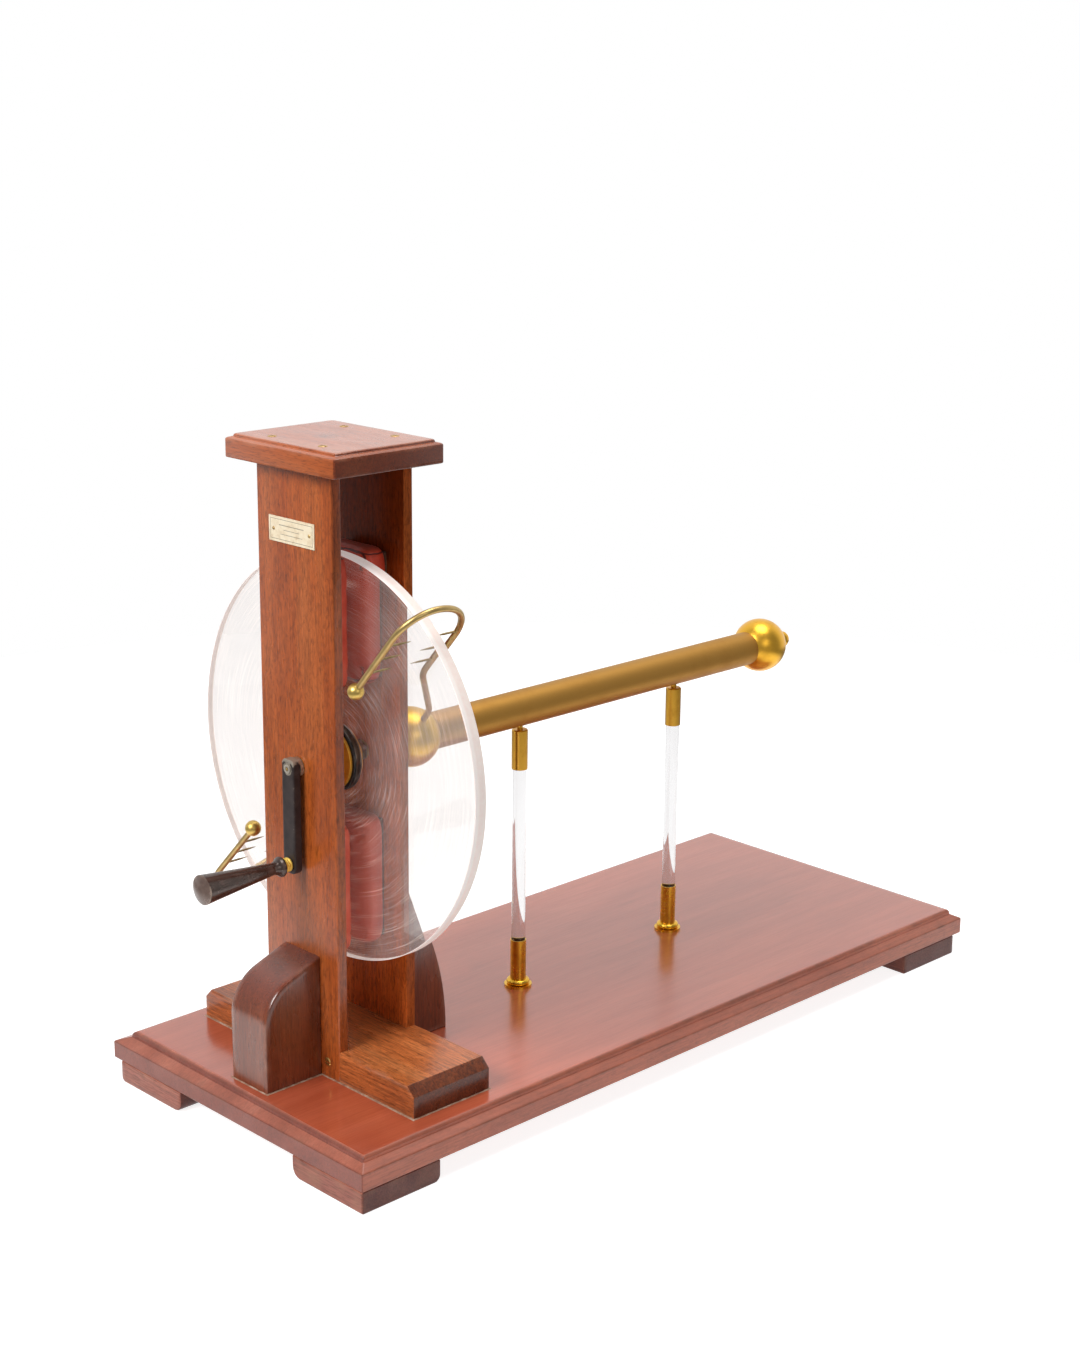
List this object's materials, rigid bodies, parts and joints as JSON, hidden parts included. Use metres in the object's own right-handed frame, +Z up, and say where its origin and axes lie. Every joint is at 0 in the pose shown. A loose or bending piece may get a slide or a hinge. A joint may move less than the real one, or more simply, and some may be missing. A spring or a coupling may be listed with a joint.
{
  "type": "friction electrostatic machine",
  "caption": "Hand-cranked friction electrostatic machine: clear disc between leather cushions on a wooden tower, bent brass combs and an insulated brass conductor on clear columns.",
  "frame": {"origin": "under the middle of the machine's bounding box, on the surface that it stands on", "axes": "+X from the crank end to the far ball, +Y to the left as seen from the crank, +Z up"},
  "size_m": [0.7018, 0.3, 0.4991],
  "materials": {
    "mahogany": "satin",
    "dark_mahogany": "satin",
    "backing_wood": "matte",
    "red_leather": "matte",
    "brass": "satin",
    "satin_brass": "satin",
    "polished_brass": "polished",
    "steel": "satin",
    "clear_disc": "clear",
    "clear_rod": "clear",
    "black_fibre": "matte",
    "ivory_plate": "satin",
    "black_iron": "satin",
    "black_lacquer": "gloss"
  },
  "bodies": {
    "frame": {"base_board": "mahogany", "front_right_foot": "dark_mahogany", "front_left_foot": "dark_mahogany", "rear_right_foot": "dark_mahogany", "rear_left_foot": "dark_mahogany", "cross_block": "mahogany", "front_upright": "mahogany", "rear_upright": "mahogany", "front_buttress": "dark_mahogany", "rear_buttress": "dark_mahogany", "cap_board": "mahogany", "cap_screws": "brass", "upright_screws": "brass", "tower_screws": "steel", "name_plate": "ivory_plate", "plate_pins": "brass", "front_bush": "brass", "rear_bush": "brass", "upper_front_cushion": "red_leather", "upper_rear_cushion": "red_leather", "lower_front_cushion": "red_leather", "lower_rear_cushion": "red_leather", "upper_front_backing": "backing_wood", "upper_rear_backing": "backing_wood", "lower_front_backing": "backing_wood", "lower_rear_backing": "backing_wood", "front_socket": "brass", "rear_socket": "brass", "front_column": "clear_rod", "rear_column": "clear_rod", "front_ferrule": "brass", "rear_ferrule": "brass", "column_studs": "steel", "column_nuts": "steel", "conductor_tube": "satin_brass", "far_ball": "polished_brass", "terminal_knob": "polished_brass"},
    "rotor": {"axle": "steel", "glass_disc": "clear_disc", "front_hub": "brass", "rear_hub": "brass", "front_washer": "black_fibre", "rear_washer": "black_fibre", "hub_nut": "steel", "hub_pin": "steel", "crank_collar": "steel", "crank_arm": "black_iron", "crank_spindle": "steel"},
    "grip": {"crank_grip": "black_lacquer", "grip_ferrule": "polished_brass"},
    "comb_head": {"near_ball": "polished_brass", "right_comb": "satin_brass", "left_comb": "satin_brass", "right_comb_points": "steel", "left_comb_points": "steel", "right_comb_ball": "polished_brass", "left_comb_ball": "polished_brass"}
  },
  "joints": [
    {"name": "crank_turn", "type": "hinge", "parent": "frame", "child": "rotor", "pos_m": [-0.2261, 0, 0.268], "axis": [1, 0, 0], "continuous": true},
    {"name": "grip_spin", "type": "hinge", "parent": "rotor", "child": "grip", "pos_m": [-0.2723, 0, 0.197], "axis": [1, 0, 0], "continuous": true},
    {"name": "comb_swivel", "type": "hinge", "parent": "frame", "child": "comb_head", "pos_m": [-0.1529, 0, 0.268], "axis": [1, 0, 0], "range_deg": [-9, 103.5]}
  ]
}
